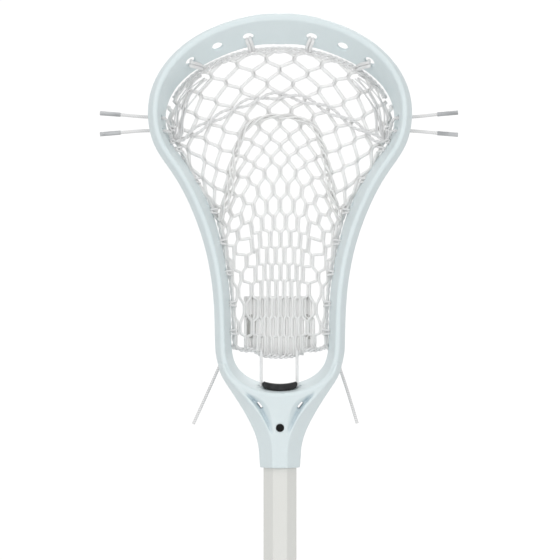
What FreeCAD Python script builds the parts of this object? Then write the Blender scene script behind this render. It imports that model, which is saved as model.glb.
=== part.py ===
"""Lacrosse stick: a moulded head, laced with a mesh pocket, on an octagonal shaft.

Millimetres. +Z runs up the shaft to the scoop, -Y is the side that the ball lies on, and the origin is the
centre of the butt end. The head is drawn in its own heights, which start at the mouth of its socket, and
is then raised onto the shaft.
"""

import FreeCAD, Part
import math
import os

Vector = FreeCAD.Vector
Rotation = FreeCAD.Rotation
Placement = FreeCAD.Placement

# ---------------------------------------------------------------- driving dimensions
SIZES = [
    ("shaft_flats", 25.4, "shaft, across its flats"),
    ("shaft_wall", 1.2, "wall of the shaft tube"),
    ("shaft_corner", 1.6, "radius along the shaft's eight corners"),
    ("shaft_length", 795.0, "shaft, end to end"),
    ("socket_depth", 52.0, "how far the shaft goes into the head"),
    ("socket_flats", 31.6, "socket of the head, across its flats"),
    ("fit_gap", 0.05, "clearance between the shaft and what goes over it"),
    ("cap_floor", 4.0, "thickness of the end cap's floor"),
    ("cap_grip", 28.0, "length of shaft that the end cap holds"),
    ("cap_wall", 2.2, "wall of the end cap"),
    ("cap_round", 1.8, "radius around the end cap's foot"),
    ("head_length", 349.0, "head, from the socket's mouth to the top of the scoop"),
    ("head_width", 204.0, "head, at its widest"),
    ("scoop_rise", 75.0, "height of the scoop's elliptical top above the widest place"),
    ("scoop_hole", 8.4, "diameter of the lacing holes in the scoop"),
    ("lacing_hole", 4.0, "diameter of the lacing holes along the side walls"),
    ("screw_shank", 4.0, "diameter of the head screw's shank"),
    ("screw_length", 9.0, "head screw, under its head"),
    ("screw_head", 7.6, "diameter of the head screw's head"),
    ("screw_height", 24.0, "height of the head screw above the socket's mouth"),
    ("badge_width", 6.2, "diameter of the plain round badge"),
    ("badge_height", 31.0, "height of the badge above the socket's mouth"),
    ("badge_proud", 0.35, "how far the badge stands out of the throat's face"),
    ("badge_depth", 0.8, "how deep the badge is let into the throat"),
    ("stop_width", 26.8, "ball stop, side to side"),
    ("string_width", 2.6, "diameter of the lacing and shooting strings"),
    ("cover_width", 3.4, "outer diameter of an aglet"),
    ("cover_length", 16.0, "length of an aglet"),
]

doc = FreeCAD.newDocument("lacrosse_stick")
sheet = doc.addObject("Spreadsheet::Sheet", "sizes")
for row, (alias, value, note) in enumerate(SIZES, start=1):
    sheet.set(f"A{row}", alias)
    sheet.set(f"B{row}", str(value))
    sheet.set(f"C{row}", note)
    sheet.setAlias(f"B{row}", alias)
doc.recompute()


def size(alias):
    """A driving dimension, read back from the sheet."""
    return float(sheet.get(alias))


SEAT = "sizes.cap_floor + sizes.shaft_length - sizes.socket_depth"  # the socket's mouth, up the shaft
HALF_WIDTH = size("head_width") / 2
WIDEST = size("head_length") - size("scoop_rise")
STRING = size("string_width")
EIGHTH = math.pi / 8  # half the angle that one flat of an octagon takes up

# ---------------------------------------------------------------- outline of the head
# One half of the hoop, from the middle of the scoop round to the middle of the throat. Each station is a
# point (x, height) on the hoop's outer edge, the breadth of the band there as seen from the ball side, and
# how much it is a side wall (1) rather than the scoop (0).
SCOOP_ANGLES = [90, 68.3, 49.7, 31.4, 14.0, 0]
SCOOP_BANDS = [22.7, 22.3, 21.5, 18.5, 15.5, 13.5]
SCOOP_NARROWING = 2.6  # how much narrower the band would be at the side, from its holes' line
SCOOP_LIP = 5.4  # breadth of the lip in front of the scoop's sloping face
SCOOP_WALLS = [0.0, 0.05, 0.2, 0.5, 0.85, 1.0]
SIDE_STATIONS = [
    (97.3, 249.0, 13.0, 1.0),
    (84.0, 228.0, 13.2, 1.0),
    (68.5, 199.5, 13.8, 1.0),
    (57.2, 166.0, 12.9, 1.0),
    (51.4, 129.0, 12.7, 1.0),
    (50.3, 100.0, 12.5, 1.0),
    (48.0, 80.0, 12.5, 0.9),
    (41.5, 67.5, 12.5, 0.6),
    (28.0, 57.2, 12.3, 0.3),
    (13.5, 52.3, 12.3, 0.2),
    (0.0, 51.0, 12.3, 0.2),
]
THROAT_HEIGHT = SIDE_STATIONS[-1][1]

FRONT_AT_ENDS = -15.5  # y of the front rail at the scoop and at the throat
FRONT_BOW = 6.5  # how far the front rail drops back between them
BACK_AT_THROAT = 17.0
BACK_AT_SCOOP = 6.0
BACK_RISE = 55.2  # slope of the back rail's parabola where it leaves the throat

PLATE = 3.2  # thickness of the moulding's web
RAIL = 5.6  # breadth of the back rail


def up_the_head(height):
    """0 at the throat's outer edge, 1 at the top of the scoop."""
    return (height - THROAT_HEIGHT) / (size("head_length") - THROAT_HEIGHT)


def front_depth(height):
    return FRONT_AT_ENDS + FRONT_BOW * math.sin(math.pi * up_the_head(height))


def back_depth(height):
    """A parabola: deepest a little below the middle of the head."""
    along = up_the_head(height)
    bend = BACK_AT_SCOOP - BACK_AT_THROAT - BACK_RISE
    return BACK_AT_THROAT + BACK_RISE * along + bend * along * along


def hoop_stations():
    """(outer point, inward direction, band, wall share) round half of the hoop."""
    rows = []
    for angle, band, wall in zip(SCOOP_ANGLES, SCOOP_BANDS, SCOOP_WALLS):
        x = HALF_WIDTH * math.cos(math.radians(angle))
        height = WIDEST + size("scoop_rise") * math.sin(math.radians(angle))
        rows.append((x, height, band, wall))
    rows += SIDE_STATIONS
    points = [Vector(x, 0, height) for x, height, band, wall in rows]
    other_half = [Vector(-point.x, 0, point.z) for point in points[-2:0:-1]]
    outline = Part.BSplineCurve()
    outline.interpolate(Points=points + other_half, PeriodicFlag=True)
    stations = []
    for point, (x, height, band, wall) in zip(points, rows):
        along = outline.tangent(outline.parameter(point))[0]
        inward = Vector(along.z, 0, -along.x)
        stations.append((point, inward.normalize(), band, wall))
    return stations


def opposite(station):
    """The same station on the other half of the head."""
    point, inward, band, wall = station
    return Vector(-point.x, point.y, point.z), Vector(-inward.x, inward.y, inward.z), band, wall


STATIONS = hoop_stations()


def band_section(point, inward, band, wall):
    """The moulding cut across: a front rail, a web set back from its outside, and a back rail."""
    front = front_depth(point.z)
    back = back_depth(point.z)
    depth = back - front
    crest_out = 0.9 + 3.0 * wall
    crest_in = 5.2 + 1.8 * wall
    bulge = 3.5 + 5.5 * wall
    lean = (band - crest_in - 1) / (depth - 3)  # how the inner face leans, per millimetre of depth
    rail_out = band - RAIL

    def web_outside(below):
        inner_face = crest_in + 1 + lean * (below - 1)
        return inner_face - PLATE - (1 - wall) * 0.6

    flange = bulge + 3.0
    corners = [
        (0.0, bulge),
        (crest_out, 0.9),
        (crest_out + 0.9, 0.0),
        (crest_in, 0.0),
        (crest_in + 1.0, 1.0),
        (band, depth - 2.0),
        (band - 1.0, depth),
        (rail_out + 1.0, depth),
        (min(rail_out, web_outside(depth - 2)), depth - 1.5),
        (min(rail_out, web_outside(depth - 6)), depth - 5.5),
        (web_outside(depth - 8), depth - 8.0),
        (max(web_outside(flange + 3), 0.6), flange + 3.0),
        (0.4, flange),
    ]
    return [point + inward * across + Vector(0, front + below, 0) for across, below in corners]


def closed_wire(corners):
    return Part.makePolygon(corners + [corners[0]])


def mirrored(shape):
    return shape.mirror(Vector(0, 0, 0), Vector(1, 0, 0))


def one_half(stations, section):
    """A loft round half of the hoop. It starts and ends a station past the middle, and is cut there, so
    that its two halves meet smoothly."""
    run = [opposite(stations[1])] + stations if stations[0][0].x < 1 else stations
    run = run + [opposite(stations[-2])]
    loft = Part.makeLoft([closed_wire(section(*station)) for station in run], True, False)
    reach = size("head_length")
    return loft.common(Part.makeBox(reach, 2 * reach, 2 * reach, Vector(0, -reach, -reach / 2)))


def build_hoop():
    half = one_half(STATIONS, band_section)
    return half.fuse(mirrored(half))


def hoop_inside():
    """What lies inside the lower hoop, from 2 mm within its wall, so that the throat stops in the wall."""
    front = (FRONT_AT_ENDS, 5.0)  # y, and how far in from the outer edge
    back = (BACK_AT_THROAT, 10.3)
    wires = []
    for y in (front[0] - 10, back[0] + 20):
        across = front[1] + (back[1] - front[1]) * (y - front[0]) / (back[0] - front[0])
        right = [point + inward * across + Vector(0, y, 0) for point, inward, band, wall in STATIONS[-7:]]
        left = [Vector(-point.x, point.y, point.z) for point in reversed(right[:-1])]
        curve = Part.BSplineCurve()
        curve.interpolate(Points=right + left)
        wires.append(Part.Wire([curve.toShape(), Part.makeLine(left[-1], right[0])]))
    return Part.makeLoft(wires, True, True)


# ---------------------------------------------------------------- throat of the head
# Cross-sections from the socket's mouth up to the hoop: height, half breadth, half breadth of the front
# face, depth of the 45 degree facets, and y of the back.
SOCKET_HALF = size("socket_flats") / 2
SOCKET_FACE = 5.6  # about as wide as the shaft's flat behind it
SOCKET_FACET = SOCKET_HALF - SOCKET_FACE
THROAT_SECTIONS = [
    (0.0, SOCKET_HALF - 0.6, SOCKET_FACE - 0.25, SOCKET_FACET, SOCKET_HALF),
    (6.0, SOCKET_HALF, SOCKET_FACE, SOCKET_FACET, SOCKET_HALF),
    (16.0, 16.6, 5.8, SOCKET_FACET, SOCKET_HALF),
    (27.0, 19.6, 8.3, SOCKET_FACET, SOCKET_HALF),
    (39.0, 25.4, 13.9, 10.6, 16.0),
    (50.0, 31.9, 22.7, 9.6, 16.4),
    (62.0, 39.8, 33.4, 8.6, 17.6),
    (72.0, 45.6, 41.4, 8.0, 19.2),
    (80.0, 47.6, 43.6, 8.0, 20.6),
]


def throat_section(height, half, face, facet, back):
    front = -SOCKET_HALF
    return closed_wire(
        [
            Vector(-face, front, height),
            Vector(face, front, height),
            Vector(half, front + facet, height),
            Vector(half, back - facet, height),
            Vector(face, back, height),
            Vector(-face, back, height),
            Vector(-half, back - facet, height),
            Vector(-half, front + facet, height),
        ]
    )


GROOVE_HEIGHT = 5.6  # of the fine line round the socket, above its mouth
GROOVE_WIDTH = 0.8
GROOVE_DEPTH = 0.4


def mouth_groove():
    inner = throat_section(GROOVE_HEIGHT, SOCKET_HALF, SOCKET_FACE, SOCKET_FACET, SOCKET_HALF)
    inner.scale(1 - GROOVE_DEPTH / SOCKET_HALF, Vector(0, 0, GROOVE_HEIGHT))
    kept = Part.Face(inner).extrude(Vector(0, 0, GROOVE_WIDTH))
    reach = 2 * SOCKET_HALF
    corner = Vector(-reach, -reach, GROOVE_HEIGHT)
    return Part.makeBox(2 * reach, 2 * reach, GROOVE_WIDTH, corner).cut(kept)


# The swept recess beside the throat's middle face, a valley that runs down from the hoop. Each row is a
# place along it: (x, height) at its inner edge, (x, height) at its outer edge, and its depth.
RECESS = [
    ((-28.9, 61.9), (-29.5, 61.3), 0.6),
    ((-20.6, 55.8), (-23.5, 53.5), 3.6),
    ((-12.8, 51.2), (-17.9, 46.3), 5.5),
    ((-8.2, 43.5), (-12.6, 37.5), 4.5),
    ((-5.9, 33.0), (-8.8, 30.0), 2.6),
    ((-5.5, 24.9), (-6.3, 24.3), 0.6),
]
VALLEY_LINE = 0.16  # where the valley is deepest, as a share of the way in from its outer edge
RECESS_EDGE = 0.3  # how sharply its edges drop
SLOT_LENGTH = 7.6
SLOT_WIDTH = 1.9
SLOT_REACH = 90.0  # right through the throat
SLOT_MIDDLE = (-15.5, 48.4)
SLOT_LEAN = 38.0  # degrees from upright


def recess(face, inwards):
    """What the valley takes out of the throat, from its face at y, going inwards (1 or -1 along y)."""
    clear = face - inwards * SOCKET_HALF
    sections = []
    for inner, outer, depth in RECESS:
        inner_edge = Vector(inner[0], 0, inner[1])
        outer_edge = Vector(outer[0], 0, outer[1])
        valley = outer_edge + (inner_edge - outer_edge) * VALLEY_LINE
        brink = Vector(0, face + inwards * RECESS_EDGE, 0)
        corners = [
            outer_edge + Vector(0, clear, 0),
            outer_edge + brink,
            valley + Vector(0, face + inwards * depth, 0),
            inner_edge + brink,
            inner_edge + Vector(0, clear, 0),
        ]
        sections.append(closed_wire(corners))
    return Part.makeLoft(sections, True, False)


def rod(middle, along, diameter, length):
    """A round rod centred on a point."""
    direction = Vector(along).normalize()
    return Part.makeCylinder(diameter / 2, length, middle - direction * (length / 2), direction)


def throat_slot():
    half = SLOT_LENGTH / 2 - SLOT_WIDTH / 2
    lean = math.radians(SLOT_LEAN)
    x, height = SLOT_MIDDLE
    step = Vector(-math.sin(lean), 0, math.cos(lean)) * half
    middle = Vector(x, 0, height)
    ends = [rod(middle + step * way, Vector(0, 1, 0), SLOT_WIDTH, SLOT_REACH) for way in (-1, 1)]
    bar = Part.makeBox(SLOT_WIDTH, SLOT_REACH, 2 * half, Vector(-SLOT_WIDTH / 2, -SLOT_REACH / 2, -half))
    bar.Placement = Placement(middle, Rotation(Vector(0, -1, 0), SLOT_LEAN))
    return ends + [bar]


def octagon_prism(flats, low, high):
    radius = flats / 2 / math.cos(EIGHTH)
    corners = []
    for corner in range(8):
        angle = (2 * corner + 1) * EIGHTH
        corners.append(Vector(radius * math.cos(angle), radius * math.sin(angle), low))
    return Part.Face(closed_wire(corners)).extrude(Vector(0, 0, high - low))


def build_throat():
    body = Part.makeLoft([throat_section(*row) for row in THROAT_SECTIONS], True, False)
    body = body.cut(hoop_inside())
    cutters = [mouth_groove()]
    for hollow in (recess(-SOCKET_HALF, 1), recess(SOCKET_HALF, -1)):
        cutters += [hollow, mirrored(hollow)]
    for piece in throat_slot():
        cutters += [piece, mirrored(piece)]
    return body, cutters


# ---------------------------------------------------------------- lacing holes
SCOOP_HOLES = [(24.3, 331.2), (48.2, 324.2), (68.8, 312.7)]  # one half: the middle one stays unlaced
LACED_HOLES = [0, 2]
TAIL_HEIGHTS = [270.0, 260.0]  # where the shooting strings leave the side wall
SIDE_HOLE_HEIGHTS = [246.0, 222.0, 198.0, 174.0, 150.0, 126.0, 104.0]
STOP_HOLE_X = 15.0  # the bottom string's two holes in the throat
STOP_HOLE = Vector(STOP_HOLE_X, 4.0, 58.0)
STOP_HOLE_RUN = Vector(0, 0.35, -1)  # they lean backwards as they go down
SIDE_HOLE_AHEAD = 8.0  # from the back rail's edge forwards to the middle of a side wall's hole
HOLE_REACH = 16.0  # through the plastic, with room to spare
TAIL_HOLE_BEHIND = 16.0  # from the front rail's crest back to the middle of a tail's hole
TAIL_HOLE_IN = 7.0  # how far in from the outline the side wall's web is, where that hole opens


def outline_at(height):
    """The station, made between two others, at a height on the outer edge of a side wall."""
    for upper, lower in zip(STATIONS, STATIONS[1:]):
        if lower[0].z <= height <= upper[0].z:
            share = (upper[0].z - height) / (upper[0].z - lower[0].z)
            point = upper[0] * (1 - share) + lower[0] * share
            inward = (upper[1] * (1 - share) + lower[1] * share).normalize()
            band = upper[2] * (1 - share) + lower[2] * share
            return point, inward, band
    raise ValueError(f"no side wall at height {height}")


def scoop_face(x, height):
    """A point on the scoop's sloping inner face, and the way that the face looks."""
    top = WIDEST + size("scoop_rise") * math.sqrt(1 - (x / HALF_WIDTH) ** 2)
    normal = Vector(x / HALF_WIDTH**2, 0, (top - WIDEST) / size("scoop_rise") ** 2).normalize()
    across = (top - height) * normal.z
    band = SCOOP_BANDS[0] - SCOOP_NARROWING * (x / HALF_WIDTH) ** 2
    front = front_depth(top) + 1
    depth = back_depth(top) - 2 - front
    slope = depth / (band - SCOOP_LIP)
    y = front + slope * (across - SCOOP_LIP)
    facing = (normal * -slope + Vector(0, -1, 0)).normalize()
    return Vector(x, y, height), facing


def lacing_cutters():
    cutters = []
    for x, height in SCOOP_HOLES:
        middle, facing = scoop_face(x, height)
        cutters.append(rod(middle, facing, size("scoop_hole"), HOLE_REACH))
    for height in SIDE_HOLE_HEIGHTS:
        point, inward, band = outline_at(height)
        middle = point + inward * (band - 2) + Vector(0, back_depth(point.z) - SIDE_HOLE_AHEAD, 0)
        cutters.append(rod(middle, inward, size("lacing_hole"), HOLE_REACH))
    for height in TAIL_HEIGHTS:
        point, inward, band = outline_at(height)
        y = front_depth(point.z) + TAIL_HOLE_BEHIND
        middle = point + Vector(-band / 2, y, 0)
        cutters.append(rod(middle, Vector(1, 0, 0), size("lacing_hole") + 0.2, 2 * HOLE_REACH))
    cutters.append(rod(STOP_HOLE, STOP_HOLE_RUN, STRING + 0.6, 2 * HOLE_REACH))
    return cutters + [mirrored(cutter) for cutter in cutters]


def build_head():
    throat, cutters = build_throat()
    head = build_hoop().fuse(throat)
    cutters += lacing_cutters()
    cutters.append(octagon_prism(size("shaft_flats") + 2 * size("fit_gap"), -1, size("socket_depth")))
    screw_y = size("socket_flats") / 2 - 2
    hole_width = size("screw_shank") + 2 * size("fit_gap")
    cutters.append(rod(Vector(0, screw_y, size("screw_height")), Vector(0, 1, 0), hole_width, 8))
    badge_floor = size("badge_depth") * 2
    badge_middle = Vector(0, -SOCKET_HALF, size("badge_height"))
    cutters.append(rod(badge_middle, Vector(0, 1, 0), size("badge_width") + 0.1, badge_floor))
    return head.cut(cutters).removeSplitter()


# ---------------------------------------------------------------- document objects
nodes = []


def keep(thing, label):
    """Gives a sub-part its label, which names its node and its file."""
    thing.Label = label
    nodes.append(thing)
    return thing


def raise_to_head(thing, height="0"):
    """Binds a piece's height to the seat of the head on the shaft."""
    thing.setExpression("Placement.Base.z", f"{SEAT} + {height}")


def shaped(label, shape, on_head=True):
    """A sub-part whose surfaces no sketch describes."""
    thing = doc.addObject("Part::Feature", label)
    thing.Shape = shape
    if on_head:
        raise_to_head(thing)
    return keep(thing, label)


def origin_plane(body, role):
    return next(item for item in body.Origin.OriginFeatures if item.Role == role)


def new_sketch(body, role, name):
    sketch = body.newObject("Sketcher::SketchObject", name)
    sketch.AttachmentSupport = [(origin_plane(body, role), "")]
    sketch.MapMode = "FlatFace"
    return sketch


def feature(body, kind, name, **settings):
    """Adds a PartDesign feature. A text setting that names the sheet is an expression."""
    made = body.newObject(f"PartDesign::{kind}", name)
    for key, value in settings.items():
        if isinstance(value, str) and "sizes." in value:
            made.setExpression(key, value)
        else:
            setattr(made, key, value)
    body.Tip = made
    doc.recompute()
    return made


# ---------------------------------------------------------------- head, badge and ball stop
head_frame = shaped("head_frame", build_head())


def make_badge():
    """A plain round disc let into the throat. It carries no mark."""
    body = doc.addObject("PartDesign::Body", "badge_body")
    disc = feature(
        body, "AdditiveCylinder", "badge_disc",
        Radius="sizes.badge_width / 2", Height="sizes.badge_depth + sizes.badge_proud",
    )
    rim = [f"Edge{n}" for n, edge in enumerate(disc.Shape.Edges, 1) if edge.CenterOfMass.z > 1]
    feature(body, "Chamfer", "badge_rim", Base=(disc, rim[:1]), Size=0.2)
    body.Placement = Placement(Vector(0, 0, 0), Rotation(Vector(1, 0, 0), 90))
    body.setExpression("Placement.Base.y", "sizes.badge_depth - sizes.socket_flats / 2")
    raise_to_head(body, "sizes.badge_height")
    keep(body, "throat_badge")


make_badge()

# The ball stop's crescent: heights of its lower and upper arcs, in the middle and at their ends.
STOP_FOOT = 59.5
STOP_FOOT_ENDS = 62.6
STOP_TOP = 64.1
STOP_TOP_ENDS = 66.2
STOP_INSET = 0.6  # how far its top corners stand in from its lower ones
STOP_FRONT = -13.4
STOP_BACK = 12.0


def make_ball_stop():
    """A foam crescent stuck in the bottom of the hoop. The hoop's leaning wall cuts its underside."""
    half = size("stop_width") / 2
    lower = [Vector(-half, STOP_FOOT_ENDS, 0), Vector(0, STOP_FOOT, 0), Vector(half, STOP_FOOT_ENDS, 0)]
    inset = half - STOP_INSET
    upper = [Vector(inset, STOP_TOP_ENDS, 0), Vector(0, STOP_TOP, 0), Vector(-inset, STOP_TOP_ENDS, 0)]
    body = doc.addObject("PartDesign::Body", "stop_body")
    sketch = new_sketch(body, "XZ_Plane", "stop_crescent")
    sketch.AttachmentOffset = Placement(Vector(0, 0, -STOP_BACK), Rotation())
    sketch.addGeometry(Part.Arc(*lower))
    sketch.addGeometry(Part.LineSegment(lower[2], upper[0]))
    sketch.addGeometry(Part.Arc(*upper))
    sketch.addGeometry(Part.LineSegment(upper[2], lower[0]))
    doc.recompute()
    feature(body, "Pad", "stop_pad", Profile=sketch, Length=STOP_BACK - STOP_FRONT)
    raise_to_head(body)
    cut = doc.addObject("Part::Cut", "stop_cut")
    cut.Base = body
    cut.Tool = head_frame
    keep(cut, "ball_stop")


make_ball_stop()

# ---------------------------------------------------------------- shaft and end cap


def octagon(name, flats, length, low):
    """An eight-sided prism with flats to the front, back and sides."""
    prism = doc.addObject("Part::Prism", name)
    prism.Polygon = 8
    prism.setExpression("Circumradius", f"({flats}) / 2 / cos(22.5)")
    prism.setExpression("Height", length)
    prism.Placement = Placement(Vector(0, 0, 0), Rotation(Vector(0, 0, 1), 22.5))
    prism.setExpression("Placement.Base.z", low)
    doc.recompute()
    return prism


def make_shaft():
    outside = octagon("shaft_outside", "sizes.shaft_flats", "sizes.shaft_length", "sizes.cap_floor")
    inside = octagon(
        "shaft_inside", "sizes.shaft_flats - 2 * sizes.shaft_wall", "sizes.shaft_length + 2",
        "sizes.cap_floor - 1",
    )
    long_edges = [n for n, edge in enumerate(outside.Shape.Edges, 1) if edge.Length > 100]
    rounded = doc.addObject("Part::Fillet", "shaft_rounded")
    rounded.Base = outside
    radius = size("shaft_corner")
    rounded.Edges = [(edge, radius, radius) for edge in long_edges]
    tube = doc.addObject("Part::Cut", "shaft_tube")
    tube.Base = rounded
    tube.Tool = inside
    pilot = doc.addObject("Part::Cylinder", "shaft_pilot_hole")
    pilot.setExpression("Radius", "sizes.screw_shank / 2 + sizes.fit_gap")
    pilot.setExpression("Height", "sizes.shaft_flats")
    pilot.Placement = Placement(Vector(0, 0, 0), Rotation(Vector(1, 0, 0), -90))
    pilot.setExpression("Placement.Base.z", f"{SEAT} + sizes.screw_height")
    shaft = doc.addObject("Part::Cut", "shaft_drilled")
    shaft.Base = tube
    shaft.Tool = pilot
    keep(shaft, "shaft")


make_shaft()


def make_end_cap():
    """A rubber cup over the butt of the shaft."""
    body = doc.addObject("PartDesign::Body", "cap_body")
    outer_radius = "(sizes.shaft_flats / 2 + sizes.cap_wall) / cos(22.5)"
    block = feature(
        body, "AdditivePrism", "cap_block",
        Polygon=8, Circumradius=outer_radius, Height="sizes.cap_floor + sizes.cap_grip",
    )
    foot = [f"Edge{n}" for n, edge in enumerate(block.Shape.Edges, 1) if edge.BoundBox.ZMax < 0.1]
    feature(body, "Fillet", "cap_foot", Base=(block, foot), Radius="sizes.cap_round")
    hollow = feature(
        body, "SubtractivePrism", "cap_hollow",
        Polygon=8, Circumradius="(sizes.shaft_flats / 2 + sizes.fit_gap) / cos(22.5)",
        Height="sizes.cap_grip + 1",
    )
    hollow.setExpression("AttachmentOffset.Base.z", "sizes.cap_floor")
    hollow.MapMode = "FlatFace"
    hollow.AttachmentSupport = [(origin_plane(body, "XY_Plane"), "")]
    body.Placement = Placement(Vector(0, 0, 0), Rotation(Vector(0, 0, 1), 22.5))
    keep(body, "end_cap")


make_end_cap()

# ---------------------------------------------------------------- head screw


def make_head_screw():
    """A pan-headed screw through the back of the socket into the shaft, drawn upright and laid over."""
    body = doc.addObject("PartDesign::Body", "screw_body")
    shank = size("screw_shank") / 2
    rim = size("screw_head") / 2
    tip = -size("screw_length")
    crown = 2.4
    corners = [
        Vector(0, tip, 0),
        Vector(0.6, tip, 0),
        Vector(shank, tip + 1.6, 0),
        Vector(shank, 0, 0),
        Vector(rim, 0, 0),
        Vector(rim, crown * 0.4, 0),
    ]
    top = Vector(0, crown, 0)
    shoulder = Vector(rim * 0.72, crown * 0.84, 0)
    sketch = new_sketch(body, "XZ_Plane", "screw_profile")
    for start, end in zip(corners, corners[1:]):
        sketch.addGeometry(Part.LineSegment(start, end))
    sketch.addGeometry(Part.Arc(corners[-1], shoulder, top))
    sketch.addGeometry(Part.LineSegment(top, corners[0]))
    doc.recompute()
    feature(body, "Revolution", "screw_turned", Profile=sketch, ReferenceAxis=(sketch, ["V_Axis"]), Angle=360)
    for number, (long_way, short_way) in enumerate([(2.2, 0.45), (0.45, 2.2)]):
        slot = feature(
            body, "SubtractiveBox", f"screw_cross_{number}",
            Length=2 * long_way, Width=2 * short_way, Height=2.0,
        )
        slot.MapMode = "FlatFace"
        slot.AttachmentSupport = [(origin_plane(body, "XY_Plane"), "")]
        slot.AttachmentOffset = Placement(Vector(-long_way, -short_way, 1.1), Rotation())
    body.Placement = Placement(Vector(0, 0, 0), Rotation(Vector(1, 0, 0), -90))
    body.setExpression("Placement.Base.y", "sizes.socket_flats / 2 + sizes.fit_gap")
    raise_to_head(body, "sizes.screw_height")
    keep(body, "head_screw")


make_head_screw()

# ---------------------------------------------------------------- surface of the pocket
# The mesh hangs in the hoop like a hammock. A place on it is (across, up): across is -1 to 1 between the
# side walls, and up is 0 along the pocket's bottom edge and 1 along its arched top edge.
MESH_BOTTOM = 86.0
MESH_SHOULDER = 279.0  # where the top edge meets the side walls
MESH_ARCH = 41.0  # how much higher the top edge is in the middle
MESH_ARCH_FULLNESS = 0.6  # the arch is flatter along its top where this is smaller
MESH_THICK = 2.0
MESH_GAP = 3.8  # between the mesh and the side wall, where the side string runs
EDGE_BEHIND = 3.5  # the mesh is tied this far in front of the back rail's edge
SAG_AT_BOTTOM = 3.0
SAG_RISE = 67.0
SAG_AT_TOP = -10.0


def hoop_inner_curve():
    points = [point + inward * band for point, inward, band, wall in STATIONS[3:-3]]
    curve = Part.BSplineCurve()
    curve.interpolate(Points=points)
    return curve.discretize(Number=160)


INNER_CURVE = hoop_inner_curve()


def inner_half_width(height):
    """Half the opening between the side walls' back edges."""
    for upper, lower in zip(INNER_CURVE, INNER_CURVE[1:]):
        if lower.z <= height <= upper.z:
            share = (height - lower.z) / (upper.z - lower.z)
            return lower.x + share * (upper.x - lower.x)
    raise ValueError(f"the hoop has no side at height {height}")


def mesh_place(across, up, lift=0.0):
    """A point on the pocket, or lift in front of it."""
    edge = MESH_BOTTOM + up * (MESH_SHOULDER - MESH_BOTTOM)
    crown = max(0.0, 1 - across * across)
    sag = SAG_AT_BOTTOM + SAG_RISE * up + (SAG_AT_TOP - SAG_AT_BOTTOM - SAG_RISE) * up * up
    x = across * (inner_half_width(edge) - MESH_GAP)
    y = back_depth(edge) - EDGE_BEHIND + sag * crown
    return Vector(x, y - lift, edge + MESH_ARCH * up**3 * crown**MESH_ARCH_FULLNESS)


def on_mesh(x, height, lift):
    """The point in front of the pocket that is seen at x and this height."""
    low = 0.0
    high = 1.0
    for halving in range(40):
        up = (low + high) / 2
        edge = MESH_BOTTOM + up * (MESH_SHOULDER - MESH_BOTTOM)
        across = max(-1.0, min(1.0, x / (inner_half_width(edge) - MESH_GAP)))
        if mesh_place(across, up).z < height:
            low = up
        else:
            high = up
    point = mesh_place(across, up, lift)
    return Vector(x, point.y, height)


def top_edge(x):
    """Height of the mesh's arched top edge."""
    across = x / (inner_half_width(MESH_SHOULDER) - MESH_GAP)
    return mesh_place(across, 1.0).z


def patch(across_from, across_to, up_from, up_to, front, back):
    """A thin solid that follows the pocket, between two lifts from its surface."""
    columns = 13
    rows = 9
    angles = [math.asin(across) for across in (across_from, across_to)]

    def side(lift):
        grid = []
        for row in range(rows):
            up = up_from + (up_to - up_from) * row / (rows - 1)
            line = []
            for column in range(columns):
                angle = angles[0] + (angles[1] - angles[0]) * column / (columns - 1)
                line.append(mesh_place(math.sin(angle), up, lift))
            grid.append(line)
        surface = Part.BSplineSurface()
        surface.interpolate(grid)
        return surface

    near = side(front)
    far = side(back)
    faces = [near.toShape(), far.toShape()]
    for which in ("uIso", "vIso"):
        for end in (0, 1):
            edges = []
            for surface in (near, far):
                u_low, u_high, v_low, v_high = surface.bounds()
                limit = (u_low, u_high)[end] if which == "uIso" else (v_low, v_high)[end]
                edges.append(getattr(surface, which)(limit).toShape())
            faces.append(Part.makeRuledSurface(edges[0], edges[1]))
    shell = Part.Compound(faces)
    shell.sewShape()
    solid = Part.makeSolid(shell.Shells[0])
    if solid.Volume < 0:
        solid.reverse()
    return solid


FOLD_ACROSS = 0.72  # the folded foot of the mesh: how far it reaches to each side, and how far up
FOLD_UP = 0.235


def make_mesh():
    """The mesh, with its foot folded up behind it. The net's cells are too fine to be cut here."""
    half = MESH_THICK / 2
    sheet_body = patch(-1, 1, 0, 1, half, -half)
    fold = patch(-FOLD_ACROSS, FOLD_ACROSS, 0.012, FOLD_UP, -half - 0.3, -half - 0.3 - MESH_THICK)
    hem = patch(-FOLD_ACROSS, FOLD_ACROSS, -0.012, 0.02, half - 0.4, -half + 0.4 - MESH_THICK)
    shaped("mesh_pocket", sheet_body.fuse([fold, hem]))


make_mesh()

# ---------------------------------------------------------------- strings and laces
cord_facts = []


def rounded_path(points):
    """Straight runs joined by arcs, each as large as its two runs allow."""
    edges = []
    radii = []
    last = points[0]
    for before, corner, after in zip(points, points[1:], points[2:]):
        incoming = corner - before
        outgoing = after - corner
        turn = incoming.getAngle(outgoing)
        tangent_length = 0.45 * min(incoming.Length, outgoing.Length)
        incoming.normalize()
        outgoing.normalize()
        start = corner - incoming * tangent_length
        end = corner + outgoing * tangent_length
        radius = tangent_length / math.tan(turn / 2)
        bisector = (outgoing - incoming).normalize()
        centre = corner + bisector * math.hypot(radius, tangent_length)
        middle = centre - bisector * radius
        edges.append(Part.LineSegment(last, start).toShape())
        edges.append(Part.Arc(start, middle, end).toShape())
        radii.append(radius)
        last = end
    edges.append(Part.LineSegment(last, points[-1]).toShape())
    return Part.Wire(edges), radii


def cord_solid(name, points, diameter):
    path, radii = rounded_path(points)
    direction = points[1] - points[0]
    circle = Part.Wire([Part.makeCircle(diameter / 2, points[0], direction)])
    solid = path.makePipeShell([circle], True, False)
    expected = math.pi * (diameter / 2) ** 2 * path.Length
    cord_facts.append((name, path.Length, min(radii), solid.Volume / expected))
    return solid


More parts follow.
